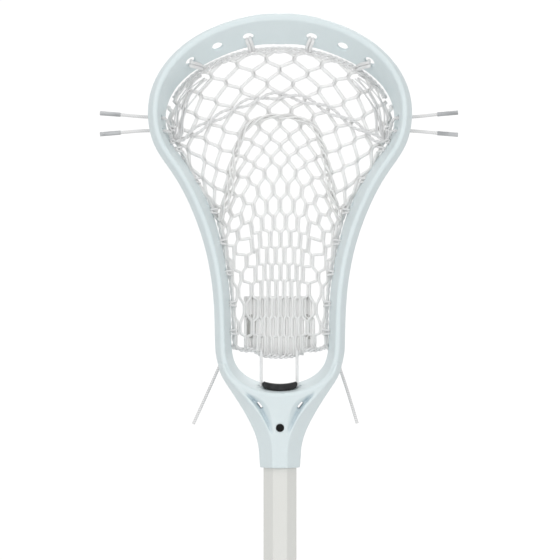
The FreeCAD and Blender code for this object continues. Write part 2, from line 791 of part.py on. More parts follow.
def both_sides(half_route):
    """A route that runs from the left to the middle, carried on to the right."""
    left = [Vector(-point.x, point.y, point.z) for point in half_route]
    return left + [Vector(point) for point in reversed(half_route[:-1])]


IN_FRONT = MESH_THICK / 2 + STRING / 2 + 0.35  # a string's middle, where it lies on the mesh


def make_top_string():
    """Across the arched top of the mesh, with a loop through each laced hole of the scoop."""
    route = []
    for across in (0.985, 0.93, 0.82, 0.66, 0.46, 0.24):
        route.append(mesh_place(across, 1.0) + Vector(0, 0, 1.6))
    route.append(mesh_place(0, 1.0) + Vector(0, 0, 2.0))
    string = cord_solid("top_string", both_sides(route), STRING)
    loops = []
    for hole in LACED_HOLES:
        x, height = SCOOP_HOLES[hole]
        middle, facing = scoop_face(x, height)
        foot_x = x * 0.93
        foot = on_mesh(foot_x, top_edge(foot_x) - 1.0, 0)
        across = Vector(0, 0, 1).cross(foot - middle).normalize() * 1.6
        clear = facing * (STRING / 2 + 0.4)
        tip = middle - facing * 0.2
        legs = [foot - across + clear, tip - across, tip + across, foot + across + clear]
        loop = cord_solid(f"scoop loop {hole}", legs, STRING)
        loops += [loop, mirrored(loop)]
    shaped("top_string", string.fuse(loops))


make_top_string()

SIDE_STRING_HEIGHTS = [93.0, 116.0, 141.0, 165.0, 187.0, 207.0, 225.0, 242.0, 258.0, 272.0]


def make_side_strings():
    """One along each side wall, between the wall's holes and the edge of the mesh."""
    route = []
    for height in SIDE_STRING_HEIGHTS:
        x = inner_half_width(height) - MESH_GAP / 2
        route.append(Vector(-x, back_depth(height) - EDGE_BEHIND, height))
    left = cord_solid("side string", route, STRING)
    shaped("left_sidewall_string", left)
    shaped("right_sidewall_string", mirrored(left))


make_side_strings()


def make_bottom_string():
    """From a hole beside the ball stop up to the foot of the mesh, across it, and back down."""
    foot = mesh_place(0.4, 0.0)
    x = STOP_HOLE_X
    half = [Vector(x, 8.0, 47.0), Vector(x, 1.2, 66.2), Vector(x, foot.y, foot.z - 2.4)]
    route = [Vector(-point.x, point.y, point.z) for point in half] + list(reversed(half))
    shaped("bottom_string", cord_solid("bottom_string", route, STRING))


make_bottom_string()

# The shooting strings, half of each, as (x, height) where they lie on the mesh.
UPPER_SHOOTER = [(76.5, 256.6), (61.0, 266.4), (45.5, 275.4), (23.5, 286.6), (0.0, 291.6)]
LOWER_SHOOTER = [(73.5, 251.4), (60.0, 260.8), (45.0, 269.8), (23.5, 281.2), (0.0, 286.2)]
POCKET_SHOOTER = [
    (47.6, 190.0),
    (42.8, 200.5),
    (39.2, 214.0),
    (37.2, 231.0),
    (33.4, 248.0),
    (27.5, 263.0),
    (16.0, 270.4),
    (0.0, 272.4),
]
POCKET_SHOOTER_WIDTH = 4.4


def tail_hole(height):
    """Where a shooting string's hole opens on the outside of the right side wall."""
    point, inward, band = outline_at(height)
    return Vector(point.x - TAIL_HOLE_IN, front_depth(point.z) + TAIL_HOLE_BEHIND, height)


def make_shooting_strings():
    for label, places, height in (
        ("upper_shooting_string", UPPER_SHOOTER, TAIL_HEIGHTS[0]),
        ("lower_shooting_string", LOWER_SHOOTER, TAIL_HEIGHTS[1]),
    ):
        opening = tail_hole(height)
        inside = opening + Vector(-9.0, 0.4, -0.6)
        route = [opening, inside] + [on_mesh(x, z, IN_FRONT) for x, z in places]
        shaped(label, cord_solid(label, both_sides(route), STRING))
    lift = MESH_THICK / 2 + POCKET_SHOOTER_WIDTH / 2 + 0.4
    route = both_sides([on_mesh(x, z, lift) for x, z in POCKET_SHOOTER])
    shaped("pocket_shooting_string", cord_solid("pocket_shooting_string", route, POCKET_SHOOTER_WIDTH))


make_shooting_strings()

# ---------------------------------------------------------------- free ends of the strings
# Each is what its string leaves hanging outside the head: from where it comes out, (x, y, height).
UPPER_OUT = tail_hole(TAIL_HEIGHTS[0])
LOWER_OUT = tail_hole(TAIL_HEIGHTS[1])
SHOOTER_TAILS = {
    "left_upper_tail": [
        (-UPPER_OUT.x, UPPER_OUT.y, UPPER_OUT.z),
        (-108.0, 5.2, 270.6),
        (-120.0, 4.9, 271.9),
        (-132.2, 4.7, 272.8),
    ],
    "left_lower_tail": [
        (-LOWER_OUT.x, LOWER_OUT.y, LOWER_OUT.z),
        (-106.0, 5.5, 259.9),
        (-119.0, 5.2, 258.7),
        (-132.2, 5.0, 257.6),
    ],
    "right_upper_tail": [
        (UPPER_OUT.x, UPPER_OUT.y, UPPER_OUT.z),
        (107.0, 5.3, 270.7),
        (118.5, 5.0, 272.1),
        (130.6, 4.7, 273.2),
    ],
    "right_lower_tail": [
        (LOWER_OUT.x, LOWER_OUT.y, LOWER_OUT.z),
        (105.0, 5.4, 259.6),
        (118.0, 5.2, 258.2),
        (130.6, 4.9, 257.2),
    ],
}
SIDE_TAILS = {
    "left_side_tail": [(-42.6, 18.6, 87.4), (-48.0, 18.4, 75.4), (-57.0, 17.8, 55.2), (-67.4, 17.4, 32.4)],
    "right_side_tail": [(42.6, 18.6, 87.4), (47.0, 18.5, 74.6), (53.6, 18.0, 54.8), (60.0, 17.3, 33.0)],
}
SIDE_TAIL_WIDTH = 2.4
COVERED = 9.0  # how far a string goes into its aglet, where the rest of the aglet is its closed tip


def make_tails():
    for label, places in SHOOTER_TAILS.items():
        route = [Vector(*place) for place in places]
        shaped(label, cord_solid(label, route, STRING))
        along = (route[-1] - route[-2]).normalize()
        mouth = route[-1] - along * COVERED
        parts = []
        for part, radius, length in (
            ("sleeve", "sizes.cover_width / 2", "sizes.cover_length"),
            ("bore", "sizes.string_width / 2 + sizes.fit_gap", f"{COVERED} + sizes.fit_gap"),
        ):
            rod_part = doc.addObject("Part::Cylinder", f"{label}_{part}")
            rod_part.setExpression("Radius", radius)
            rod_part.setExpression("Height", length)
            rod_part.Placement = Placement(mouth, Rotation(Vector(0, 0, 1), along))
            raise_to_head(rod_part, f"{mouth.z:.3f}")
            parts.append(rod_part)
        aglet = doc.addObject("Part::Cut", f"{label}_aglet")
        aglet.Base = parts[0]
        aglet.Tool = parts[1]
        keep(aglet, label.replace("tail", "aglet"))
    for label, places in SIDE_TAILS.items():
        route = [Vector(*place) for place in places]
        shaped(label, cord_solid(label, route, SIDE_TAIL_WIDTH))


make_tails()

# ---------------------------------------------------------------- checks and files
doc.recompute()
for item in doc.Objects:
    if "Invalid" in item.State or "Error" in item.State:
        raise RuntimeError(f"{item.Label} failed: {item.State}")
for node in nodes:
    shape = node.Shape
    if shape.isNull() or not shape.isValid() or not shape.Solids:
        raise RuntimeError(f"{node.Label} has no valid solid")

os.makedirs("parts", exist_ok=True)
for node in nodes:
    node.Shape.exportStep(f"parts/{node.Label}.step")
    box = node.Shape.BoundBox
    heights = f"z {box.ZMin:.1f} to {box.ZMax:.1f}"
    print(f"{node.Label}: {len(node.Shape.Solids)} solid, {node.Shape.Volume:.0f} mm3, {heights}")
for name, length, tightest, fill in cord_facts:
    print(f"{name}: {length:.1f} mm long, tightest radius {tightest:.1f} mm, fills {fill:.3f} of its section")
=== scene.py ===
"""Lacrosse stick: the visual model.

Metres, +Z up the shaft, the ball side faces -Y. Heights in the head are counted in millimetres from the
mouth of its socket, as a stringer would measure them, and SEAT turns them into the frame's Z.
"""

import math
import random

import bmesh
import bpy
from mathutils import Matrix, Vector


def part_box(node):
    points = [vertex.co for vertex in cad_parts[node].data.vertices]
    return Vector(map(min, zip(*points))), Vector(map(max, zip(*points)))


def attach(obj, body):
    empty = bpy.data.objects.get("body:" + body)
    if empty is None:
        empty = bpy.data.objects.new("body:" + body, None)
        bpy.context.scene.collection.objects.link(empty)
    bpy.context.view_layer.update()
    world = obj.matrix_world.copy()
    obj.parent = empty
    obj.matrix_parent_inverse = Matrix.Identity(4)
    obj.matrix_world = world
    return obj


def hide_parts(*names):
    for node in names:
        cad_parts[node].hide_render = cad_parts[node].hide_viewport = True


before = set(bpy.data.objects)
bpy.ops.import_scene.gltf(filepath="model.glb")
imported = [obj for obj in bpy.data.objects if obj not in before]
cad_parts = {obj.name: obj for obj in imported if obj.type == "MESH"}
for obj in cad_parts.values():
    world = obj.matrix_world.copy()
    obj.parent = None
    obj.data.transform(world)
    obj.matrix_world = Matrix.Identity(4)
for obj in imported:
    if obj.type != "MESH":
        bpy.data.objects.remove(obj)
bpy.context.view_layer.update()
MM = 0.001
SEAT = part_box("head_frame")[0].z


def metres(x, y, height):
    """A place in the head, given in millimetres."""
    return Vector((x * MM, y * MM, SEAT + height * MM))


def new_object(name, data):
    made = bpy.data.objects.new(name, data)
    bpy.context.scene.collection.objects.link(made)
    return made


def fill(node, values):
    """Gives values to a shader node's inputs, by name."""
    for name, value in values.items():
        node.inputs[name].default_value = value


# ---------------------------------------------------------------- camera, light and floor

CAMERA_DISTANCE = 2.6
CAMERA_HEIGHT = 0.1444  # above the socket's mouth
SEEN_WIDTH = 0.432  # of the view, at the head
SENSOR_WIDTH = 36.0
LIGHT_AIM = Vector((0.0, 0.0, SEAT + 0.16))
LIGHTS = {  # place, whose height is over the socket's mouth, then width and power
    "left_key": ((-1.45, -1.70, 0.65), 1.0, 8.3),
    "right_key": ((1.45, -1.70, 0.65), 1.0, 8.3),
    "top": ((-0.5, -1.0, 1.5), 0.9, 3.0),
    "rim": ((0.2, 1.4, 1.2), 1.0, 5.0),
}
WORLD_FRONT = 0.90  # strength of the world's light from in front and above
WORLD_SIDES = 0.40  # and from the sides, where it is less, so that round edges turn darker
BACKDROP = 1.05  # and from behind the stick
BACKDROP_FROM = 0.60  # where that begins along Y, of 1
BACKDROP_FULL = 0.85
FLOOR_REACH = 4.0


def make_camera():
    data = bpy.data.cameras.new("camera")
    data.sensor_width = SENSOR_WIDTH
    data.lens = SENSOR_WIDTH * CAMERA_DISTANCE / SEEN_WIDTH
    data.clip_end = 50.0
    camera = new_object("camera", data)
    camera.location = (0.0, -CAMERA_DISTANCE, SEAT + CAMERA_HEIGHT)
    camera.rotation_euler = (math.radians(90), 0, 0)
    bpy.context.scene.camera = camera


def area_light(name, place, width, power):
    """A round lamp that faces the head."""
    data = bpy.data.lights.new(name, "AREA")
    data.shape = "DISK"
    data.size = width
    data.energy = power
    light = new_object(name, data)
    x, y, height = place
    light.location = (x, y, SEAT + height)
    light.rotation_euler = (LIGHT_AIM - light.location).to_track_quat("-Z", "Y").to_euler()


def make_world():
    """A white world, dimmer at the sides and brighter behind the stick."""
    world = bpy.data.worlds.new("studio")
    bpy.context.scene.world = world
    world.use_nodes = True
    nodes = world.node_tree.nodes
    links = world.node_tree.links
    direction = nodes.new("ShaderNodeTexCoord")
    split = nodes.new("ShaderNodeSeparateXYZ")
    links.new(direction.outputs["Generated"], split.inputs["Vector"])
    sideways = nodes.new("ShaderNodeMath")
    sideways.operation = "POWER"
    sideways.inputs[1].default_value = 2.0
    links.new(split.outputs["X"], sideways.inputs[0])
    strength = nodes.new("ShaderNodeMapRange")
    fill(strength, {"To Min": WORLD_FRONT, "To Max": WORLD_SIDES})
    links.new(sideways.outputs["Value"], strength.inputs["Value"])
    backdrop = nodes.new("ShaderNodeMapRange")
    backdrop.interpolation_type = "SMOOTHSTEP"
    fill(backdrop, {"From Min": BACKDROP_FROM, "From Max": BACKDROP_FULL, "To Max": BACKDROP})
    links.new(split.outputs["Y"], backdrop.inputs["Value"])
    brighter = nodes.new("ShaderNodeMath")
    brighter.operation = "MAXIMUM"
    links.new(strength.outputs["Result"], brighter.inputs[0])
    links.new(backdrop.outputs["Result"], brighter.inputs[1])
    background = nodes["Background"]
    fill(background, {"Color": (1.0, 1.0, 1.0, 1.0)})
    links.new(brighter.outputs["Value"], background.inputs["Strength"])


def make_studio():
    bpy.context.scene.view_settings.view_transform = "Standard"
    make_world()
    for name, (place, width, power) in LIGHTS.items():
        area_light(name, place, width, power)


def make_stage():
    """A pale floor under the butt end."""
    reach = FLOOR_REACH
    corners = [(-reach, -reach, 0), (reach, -reach, 0), (reach, reach, 0), (-reach, reach, 0)]
    mesh = bpy.data.meshes.new("floor")
    mesh.from_pydata([Vector(corner) for corner in corners], [], [(0, 1, 2, 3)])
    mesh.materials.append(Painted("floor_pale", (0.86, 0.86, 0.86), 0.7).material)
    new_object("floor", mesh)


# ---------------------------------------------------------------- materials

BRAID_ANGLE = math.radians(38)  # of a braid's strands to the cord
RIDGE_SLANT = 35  # degrees from the run of a twine to its ridges


class Painted:
    """A principled material with helpers for its procedural parts."""

    def __init__(self, name, colour, roughness):
        self.material = bpy.data.materials.new(name)
        self.material.use_nodes = True
        self.nodes = self.material.node_tree.nodes
        self.links = self.material.node_tree.links
        self.shader = self.nodes["Principled BSDF"]
        fill(self.shader, {"Base Color": (*colour, 1.0), "Roughness": roughness})
        self.bumps = None
        self.place = self.nodes.new("ShaderNodeTexCoord").outputs["Object"]

    def noise(self, scale, detail=3.0, stretch=None):
        source = self.place
        if stretch:
            mapping = self.nodes.new("ShaderNodeMapping")
            fill(mapping, {"Scale": stretch})
            self.links.new(self.place, mapping.inputs["Vector"])
            source = mapping.outputs["Vector"]
        texture = self.nodes.new("ShaderNodeTexNoise")
        fill(texture, {"Scale": scale, "Detail": detail})
        self.links.new(source, texture.inputs["Vector"])
        return texture.outputs["Fac"]

    def wave(self, source, rotation, stretch, scale, distortion):
        """Bands across a turned and stretched copy of the source coordinates."""
        mapping = self.nodes.new("ShaderNodeMapping")
        fill(mapping, {"Rotation": rotation, "Scale": stretch})
        self.links.new(source, mapping.inputs["Vector"])
        texture = self.nodes.new("ShaderNodeTexWave")
        fill(texture, {"Scale": scale, "Distortion": distortion})
        self.links.new(mapping.outputs["Vector"], texture.inputs["Vector"])
        return texture.outputs["Fac"]

    def tint(self, fac, dark, light, low=0.35, high=0.65):
        """The base colour runs from dark to light with a texture."""
        ramp = self.nodes.new("ShaderNodeValToRGB")
        first, second = ramp.color_ramp.elements
        first.position = low
        first.color = (*dark, 1.0)
        second.position = high
        second.color = (*light, 1.0)
        self.links.new(fac, ramp.inputs["Fac"])
        self.links.new(ramp.outputs["Color"], self.shader.inputs["Base Color"])

    def shade_hollows(self, reach, shade):
        """The base colour turns to shade in the object's own hollows, over a reach in metres."""
        shelter = self.nodes.new("ShaderNodeAmbientOcclusion")
        shelter.samples = 8
        shelter.only_local = True
        fill(shelter, {"Distance": reach})
        span = self.nodes.new("ShaderNodeMapRange")
        fill(span, {"From Min": 0.40, "From Max": 0.92})
        self.links.new(shelter.outputs["AO"], span.inputs["Value"])
        mixed = self.nodes.new("ShaderNodeMix")
        mixed.data_type = "RGBA"
        mixed.inputs["A"].default_value = (*shade, 1.0)
        open_colour = self.shader.inputs["Base Color"].links[0].from_socket
        self.links.new(open_colour, mixed.inputs["B"])
        self.links.new(span.outputs["Result"], mixed.inputs["Factor"])
        self.links.new(mixed.outputs["Result"], self.shader.inputs["Base Color"])

    def wear(self, fac, low, high):
        """Roughness runs between two values with a texture."""
        span = self.nodes.new("ShaderNodeMapRange")
        fill(span, {"To Min": low, "To Max": high})
        self.links.new(fac, span.inputs["Value"])
        self.links.new(span.outputs["Result"], self.shader.inputs["Roughness"])

    def bump(self, height, strength, distance):
        node = self.nodes.new("ShaderNodeBump")
        fill(node, {"Strength": strength, "Distance": distance})
        self.links.new(height, node.inputs["Height"])
        if self.bumps:
            self.links.new(self.bumps, node.inputs["Normal"])
        self.bumps = node.outputs["Normal"]
        self.links.new(self.bumps, self.shader.inputs["Normal"])

    def let_light_in(self, weight, depth):
        """Light goes a little way under the surface, to a depth in metres."""
        fill(
            self.shader,
            {
                "Subsurface Weight": weight,
                "Subsurface Radius": (1.0, 1.0, 1.0),
                "Subsurface Scale": depth,
            },
        )


def darker(colour, share):
    return tuple(channel * share for channel in colour)


def braid_material(name, colour, plait, depth):
    """Yarn laid round a cord: its crossing strands run round and along the tube's own UV map."""
    paint = Painted(name, colour, 0.8)
    uv = paint.nodes.new("ShaderNodeUVMap")
    uv.uv_map = "braid"
    both = paint.nodes.new("ShaderNodeMath")
    both.operation = "MAXIMUM"
    for way, entry in zip((1, -1), both.inputs):
        slant = (0, 0, way * BRAID_ANGLE)
        strands = paint.wave(uv.outputs["UV"], slant, (plait, plait, 1), 1.0, 0.6)
        paint.links.new(strands, entry)
    paint.bump(both.outputs["Value"], 0.6, depth)
    paint.tint(both.outputs["Value"], darker(colour, 0.84), colour, 0.1, 0.7)
    paint.let_light_in(0.5, 0.0015)
    return paint.material


def tail_material(name, colour, turned):
    """Twine whose fine ridges slant across its run. Turned is the run's angle from level, in degrees."""
    paint = Painted(name, colour, 0.8)
    slant = (0, math.radians(turned + RIDGE_SLANT), 0)
    ridges = paint.wave(paint.place, slant, (1, 1, 1), 210.0, 0.8)
    paint.bump(ridges, 0.6, 0.0003)
    paint.tint(ridges, darker(colour, 0.8), colour, 0.1, 0.7)
    return paint.material


def head_material():
    colour = (0.70, 0.775, 0.79)
    paint = Painted("moulded_nylon", colour, 0.36)
    paint.tint(paint.noise(14.0, 2.0), darker(colour, 0.975), colour)
    paint.shade_hollows(0.004, (0.43, 0.53, 0.59))
    paint.bump(paint.noise(900.0, 2.0), 0.05, 0.0002)
    paint.wear(paint.noise(60.0), 0.42, 0.54)
    paint.let_light_in(0.35, 0.0015)
    return paint.material


def shaft_material():
    colour = (0.73, 0.735, 0.705)
    paint = Painted("powder_coat", colour, 0.38)
    paint.tint(paint.noise(9.0, 3.0, (1, 1, 0.2)), darker(colour, 0.97), colour)
    paint.bump(paint.noise(1400.0, 2.0), 0.08, 0.0002)
    paint.wear(paint.noise(40.0, 4.0, (1, 1, 0.1)), 0.30, 0.45)
    return paint.material


def foam_material():
    paint = Painted("closed_cell_foam", (0.012, 0.012, 0.013), 0.75)
    paint.tint(paint.noise(300.0), (0.008, 0.008, 0.009), (0.022, 0.022, 0.024))
    paint.bump(paint.noise(1500.0), 0.5, 0.0004)
    return paint.material


def rubber_material():
    paint = Painted("cap_rubber", (0.02, 0.02, 0.02), 0.6)
    paint.tint(paint.noise(120.0), (0.014, 0.014, 0.015), (0.03, 0.03, 0.031))
    paint.bump(paint.noise(700.0), 0.35, 0.0004)
    return paint.material


def badge_material():
    paint = Painted("badge_black", (0.006, 0.006, 0.006), 0.5)
    paint.tint(paint.noise(200.0), (0.004, 0.004, 0.004), (0.009, 0.009, 0.009))
    paint.bump(paint.noise(900.0), 0.2, 0.0002)
    fill(paint.shader, {"Specular IOR Level": 0.15})
    return paint.material


def screw_material():
    paint = Painted("zinc_plate", (0.55, 0.55, 0.54), 0.32)
    fill(paint.shader, {"Metallic": 1.0})
    paint.wear(paint.noise(500.0), 0.25, 0.42)
    paint.bump(paint.noise(900.0), 0.15, 0.0002)
    return paint.material


def aglet_material():
    paint = Painted("aglet_sleeve", (0.42, 0.43, 0.44), 0.35)
    paint.tint(paint.noise(260.0, 2.0, (0.3, 1, 1)), (0.34, 0.35, 0.36), (0.50, 0.51, 0.52))
    paint.bump(paint.noise(700.0), 0.2, 0.0002)
    return paint.material


def carry(node, material):
    """A CAD node that shows as it is, with its finish."""
    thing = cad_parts[node]
    thing.data.materials.clear()
    thing.data.materials.append(material)
    return thing


make_camera()

# ---------------------------------------------------------------- the strings' free ends

SHOOTER_THICK = 2.6  # the strings' thickness
SIDE_THICK = 2.4
AGLET = aglet_material()
LEVEL_TAIL = tail_material("level_tail_twine", (0.80, 0.80, 0.80), 0.0)
HANGING_TAIL = tail_material("hanging_tail_twine", (0.82, 0.82, 0.82), 70.0)
SHOOTER_TAILS = {  # each one's length, and its route out of the side wall
    "left_upper": (
        38.1,
        [(-94.3, 5.3, 270.0), (-108, 5.2, 270.6), (-120, 4.9, 271.9), (-132.2, 4.7, 272.8)],
    ),
    "left_lower": (
        39.9,
        [(-92.4, 5.7, 260.0), (-106, 5.5, 259.9), (-119, 5.2, 258.7), (-132.2, 5.0, 257.6)],
    ),
    "right_upper": (
        36.5,
        [(94.3, 5.3, 270.0), (107, 5.3, 270.7), (118.5, 5.0, 272.1), (130.6, 4.7, 273.2)],
    ),
    "right_lower": (
        38.4,
        [(92.4, 5.7, 260.0), (105, 5.4, 259.6), (118, 5.2, 258.2), (130.6, 4.9, 257.2)],
    ),
}
SIDE_TAILS = {
    "left_side": (60.3, [(-42.6, 18.6, 87.4), (-48, 18.4, 75.4), (-57, 17.8, 55.2), (-67.4, 17.4, 32.4)]),
    "right_side": (57.1, [(42.6, 18.6, 87.4), (47, 18.5, 74.6), (53.6, 18, 54.8), (60, 17.3, 33)]),
}


def make_tail(place, route, thickness, material):
    """A string's free end, as a curve of its own thickness."""
    data = bpy.data.curves.new(f"{place}_twine", "CURVE")
    data.dimensions = "3D"
    data.bevel_depth = thickness / 2 * MM
    data.bevel_resolution = 4
    data.use_fill_caps = True
    spline = data.splines.new("NURBS")
    spline.points.add(len(route) - 1)
    for control, point in zip(spline.points, route):
        control.co = (*metres(*point), 1.0)
    spline.order_u = 3
    spline.use_endpoint_u = True
    data.materials.append(material)
    tail = new_object(f"{place}_twine", data)
    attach(tail, "stick")
    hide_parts(f"{place}_tail")
    return tail


for place, (length, route) in SHOOTER_TAILS.items():
    tail = make_tail(place, route, SHOOTER_THICK, LEVEL_TAIL)
    sleeve = carry(f"{place}_aglet", AGLET)
for place, (length, route) in SIDE_TAILS.items():
    tail = make_tail(place, route, SIDE_THICK, HANGING_TAIL)

# ---------------------------------------------------------------- studio and braids

make_studio()
make_stage()
NET = braid_material("mesh_yarn", (0.96, 0.96, 0.95), 900.0, 0.0002)
STRING = braid_material("string_braid", (0.86, 0.86, 0.86), 700.0, 0.0002)
# Painted shade: a grey yarn that stands for the shadow along the fold's sides.
PAINTED_SHADE = braid_material("painted_shade_yarn", (0.50, 0.50, 0.48), 900.0, 0.0002)
LACE = braid_material("lace_weave", (0.87, 0.87, 0.86), 700.0, 0.0002)

# ---------------------------------------------------------------- surface of the pocket

HOOP_EDGE = [  # height, and half the opening between the side walls' back edges
    (66.0, 20.0),
    (74.0, 28.5),
    (82.0, 34.0),
    (92.0, 37.3),
    (106.0, 38.4),
    (129.0, 39.0),
    (152.0, 42.0),
    (168.0, 45.2),
    (183.0, 48.4),
    (197.0, 52.6),
    (209.0, 58.6),
    (222.0, 66.8),
    (236.0, 75.2),
    (254.0, 83.4),
    (270.0, 87.0),
    (286.0, 87.0),
    (300.0, 82.0),
]
HOOP_FOOT = 51  # where the side walls start
HOOP_HEIGHT = 298  # from there to the tip of the scoop
MESH_BOTTOM = 86.0
MESH_SHOULDER = 279.0  # where the mesh's arched top edge meets the walls
MESH_ARCH = 43.4  # how far the arch rises above that
MESH_ARCH_FULLNESS = 0.62  # the arch is flatter along its top where this is smaller
MESH_GAP = 3.8  # between the mesh and the walls
EDGE_BEHIND = 3.5  # how far the mesh's edge stands in from the walls' back edge
SAG_AT_BOTTOM = 3.0  # the pocket's depth behind its edge, at its foot
SAG_RISE = 67.0  # how fast that grows upwards at first
SAG_AT_TOP = -10.0
HALVINGS = 26  # of the search for a height on the pocket


def smooth_step(share):
    share = max(0.0, min(1.0, share))
    return share * share * (3 - 2 * share)


def through(knots, where):
    """A smooth curve through (place, value) knots."""
    if where <= knots[0][0]:
        return knots[0][1]
    if where >= knots[-1][0]:
        return knots[-1][1]
    last = len(knots) - 1
    index = next(step for step in range(last) if where <= knots[step + 1][0])
    start, end = knots[index], knots[index + 1]
    span = end[0] - start[0]

    def slope(near):
        before = knots[max(near - 1, 0)]
        after = knots[min(near + 1, last)]
        return (after[1] - before[1]) / (after[0] - before[0])

    t = (where - start[0]) / span
    rise = end[1] - start[1]
    s0 = slope(index) * span
    s1 = slope(index + 1) * span
    return start[1] + t * (s0 + t * ((3 * rise - 2 * s0 - s1) + t * (s0 + s1 - 2 * rise)))


def inner_half_width(height):
    return through(HOOP_EDGE, height)


def back_depth(height):
    """y of the side walls' back edges."""
    up = (height - HOOP_FOOT) / HOOP_HEIGHT
    return 17 + 55.2 * up - 66.2 * up * up


def mesh_place(across, up, lift=0.0):
    """A point on the pocket: across is -1 to 1 between the walls, up is 0 to 1 from foot to top."""
    edge = MESH_BOTTOM + up * (MESH_SHOULDER - MESH_BOTTOM)
    crown = max(0.0, 1 - across * across)
    sag = SAG_AT_BOTTOM + SAG_RISE * up + (SAG_AT_TOP - SAG_AT_BOTTOM - SAG_RISE) * up * up
    x = across * (inner_half_width(edge) - MESH_GAP)
    y = back_depth(edge) - EDGE_BEHIND + sag * crown
    return Vector((x, y - lift, edge + MESH_ARCH * up**3 * crown**MESH_ARCH_FULLNESS))


def top_edge(x):
    """Height of the mesh's arched top edge."""
    across = max(-1.0, min(1.0, x / (inner_half_width(MESH_SHOULDER) - MESH_GAP)))
    return mesh_place(across, 1.0).z


def on_mesh(x, height, lift=0.0):
    """The point on the pocket, or in front of it, that is seen at x and this height."""
    low = 0.0
    high = 1.0
    for _ in range(HALVINGS):
        up = (low + high) / 2
        edge = MESH_BOTTOM + up * (MESH_SHOULDER - MESH_BOTTOM)
        across = max(-1.0, min(1.0, x / (inner_half_width(edge) - MESH_GAP)))
        if mesh_place(across, up).z < height:
            low = up
        else:
            high = up
    return Vector((x, mesh_place(across, up, lift).y, height))


# ---------------------------------------------------------------- making tubes


def rounded(points, passes=2):
    """Cuts the corners off a run of points, a little more on each pass."""
    for _ in range(passes):
        cut = []
        for a, b in zip(points, points[1:]):
            cut += [a.lerp(b, 0.25), a.lerp(b, 0.75)]
        points = [points[0]] + cut + [points[-1]]
    return points


def eased(points, reach):
    """Rounds every corner with a short bend that starts at most reach before it."""
    path = [points[0]]
    for before, corner, after in zip(points, points[1:], points[2:]):
        back = before - corner
        ahead = after - corner
        start = corner + back * min(reach / back.length, 0.45)
        end = corner + ahead * min(reach / ahead.length, 0.45)
        for share in (0.0, 0.33, 0.67, 1.0):
            path.append(start.lerp(corner, share).lerp(corner.lerp(end, share), share))
    path.append(points[-1])
    return path


class Tubes:
    """Collects tubes into one mesh."""

    def __init__(self):
        self.mesh = bmesh.new()
        self.uv = self.mesh.loops.layers.uv.new("braid")

    def add(self, points, radius, sides=8):
        """A tube along points in millimetres, closed at its ends. The radius is a number, or a function
        of the share of the tube."""
        points = [metres(*point) for point in points]
        rings = []
        along = [0.0]
        for a, b in zip(points, points[1:]):
            along.append(along[-1] + (b - a).length)
        side = None
        for index, point in enumerate(points):
            before = points[max(index - 1, 0)]
            after = points[min(index + 1, len(points) - 1)]
            forward = (after - before).normalized()
            if side is None:
                side = forward.cross(Vector((0.3, -1, 0.2))).normalized()
            side = (side - forward * side.dot(forward)).normalized()
            up = forward.cross(side)
            width = radius(index / (len(points) - 1)) if callable(radius) else radius
            ring = []
            for corner in range(sides):
                angle = 2 * math.pi * corner / sides
                out = (side * math.cos(angle) + up * math.sin(angle)) * width
                ring.append(self.mesh.verts.new(point + out * MM))
            rings.append(ring)
        girth = 2 * math.pi * (radius(0.5) if callable(radius) else radius) * MM
        for index in range(len(rings) - 1):
            for corner in range(sides):
                following = (corner + 1) % sides
                loop = [
                    (rings[index][corner], corner, index),
                    (rings[index][following], corner + 1, index),
                    (rings[index + 1][following], corner + 1, index + 1),
                    (rings[index + 1][corner], corner, index + 1),
                ]
                face = self.mesh.faces.new([item[0] for item in loop])
                face.smooth = True
                for corner_loop, item in zip(face.loops, loop):
                    corner_loop[self.uv].uv = (item[1] / sides * girth, along[item[2]])
        self.mesh.faces.new(list(reversed(rings[0])))
        self.mesh.faces.new(rings[-1])

    def piece(self, name, material):
        self.mesh.normal_update()
        data = bpy.data.meshes.new(name)
        self.mesh.to_mesh(data)
        self.mesh.free()
        data.materials.append(material)
        return new_object(name, data)


def twisted(points, strands, spread, turns_each=9.0, start=0.0):
    """The paths of strands laid round a line, one turn every so many millimetres. The spread from the
    line is a number, or a function of the share of the line."""
    paths = [[] for _ in range(strands)]
    gone = 0.0
    last = len(points) - 1
    for index, point in enumerate(points):
        if index:
            gone += (point - points[index - 1]).length
        before = points[max(index - 1, 0)]
        after = points[min(index + 1, len(points) - 1)]
        forward = (after - before).normalized()
        side = forward.cross(Vector((0, -1, 0))).normalized()
        up = side.cross(forward)
        wide = spread(index / last) if callable(spread) else spread
        for strand in range(strands):
            angle = start + 2 * math.pi * (gone / turns_each + strand / strands)
            aside = side * math.cos(angle) * wide
            behind = up * math.sin(angle) * min(wide * 0.6, 1.1)
            paths[strand].append(point + aside + behind)
    return paths


def resampled(points, step):
    """The same line with evenly spaced points."""
    total = sum((b - a).length for a, b in zip(points, points[1:]))
    count = max(2, round(total / step))
    result = [points[0]]
    gone = 0.0
    index = 0
    for mark in range(1, count):
        target = total * mark / count
        while gone + (points[index + 1] - points[index]).length < target:
            gone += (points[index + 1] - points[index]).length
            index += 1
        a, b = points[index], points[index + 1]
        result.append(a.lerp(b, (target - gone) / (b - a).length))
    result.append(points[-1])
    return result


# ---------------------------------------------------------------- the knitted mesh

